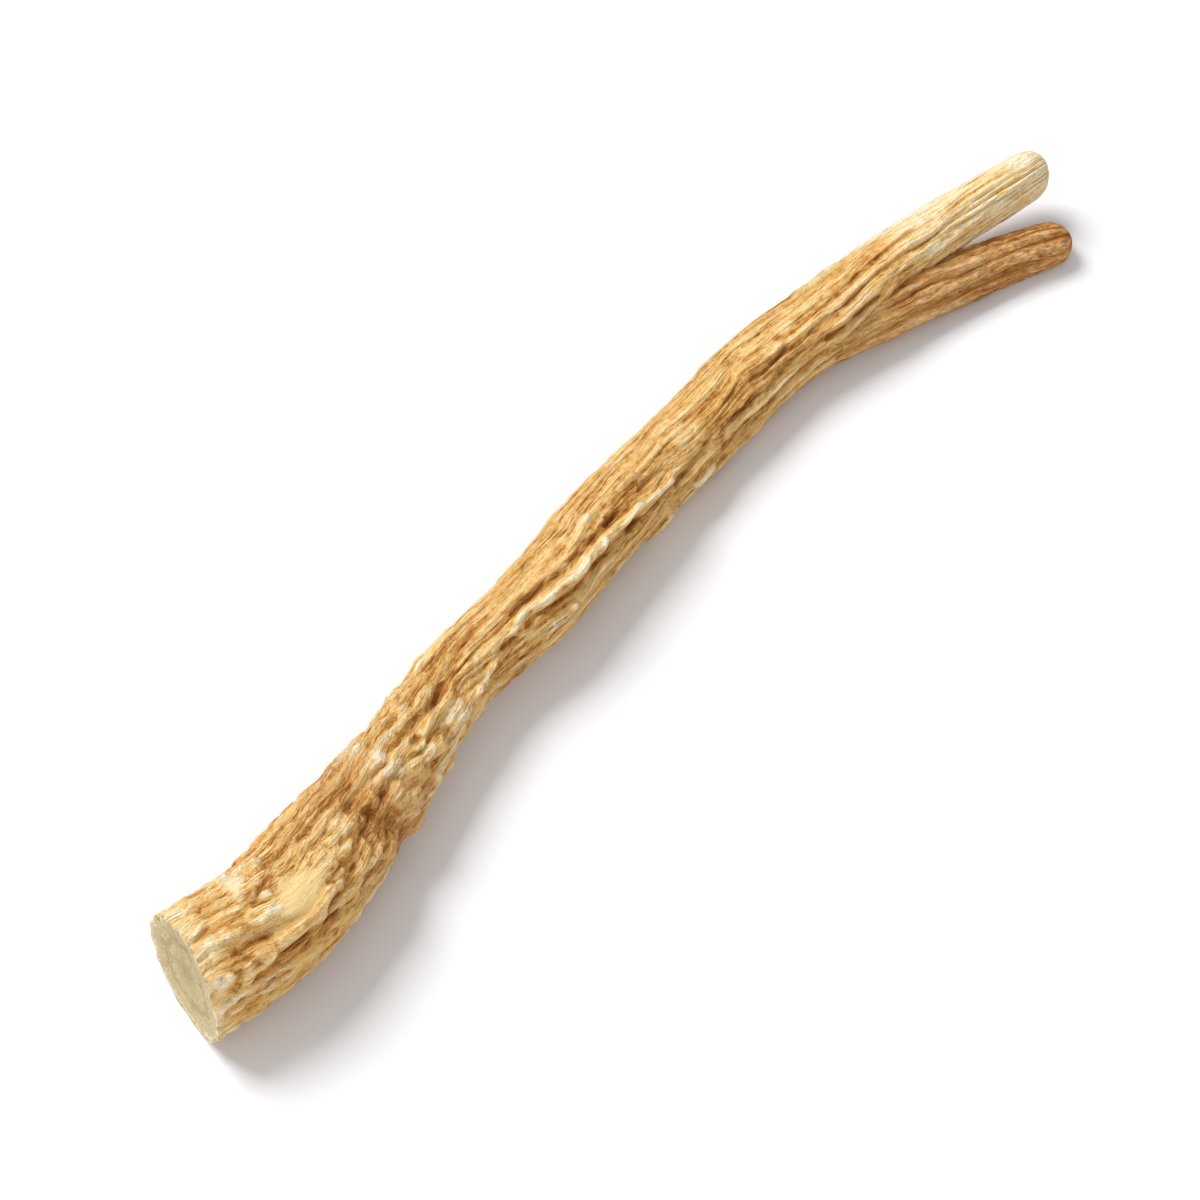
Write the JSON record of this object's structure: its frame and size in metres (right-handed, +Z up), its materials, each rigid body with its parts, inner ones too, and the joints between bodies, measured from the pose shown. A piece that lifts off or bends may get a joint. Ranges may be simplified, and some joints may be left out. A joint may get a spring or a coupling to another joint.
{
  "type": "american ginseng root",
  "caption": "Dried ginseng root, ribbed and furrowed, cut square at its thick end, narrow at the neck and forked into short legs; lies on a surface.",
  "frame": {"origin": "middle of the box round the root, on the surface that it lies on", "axes": "+X from the cut end to the tips of the legs, +Z up"},
  "size_m": [0.0786, 0.0108, 0.0073],
  "materials": {
    "bark": "dry wrinkled bark, matte, tan with pale rib crests and brown furrows; cut face greyish cream"
  },
  "bodies": {
    "root": {"ginseng_root": "bark"}
  },
  "joints": []
}
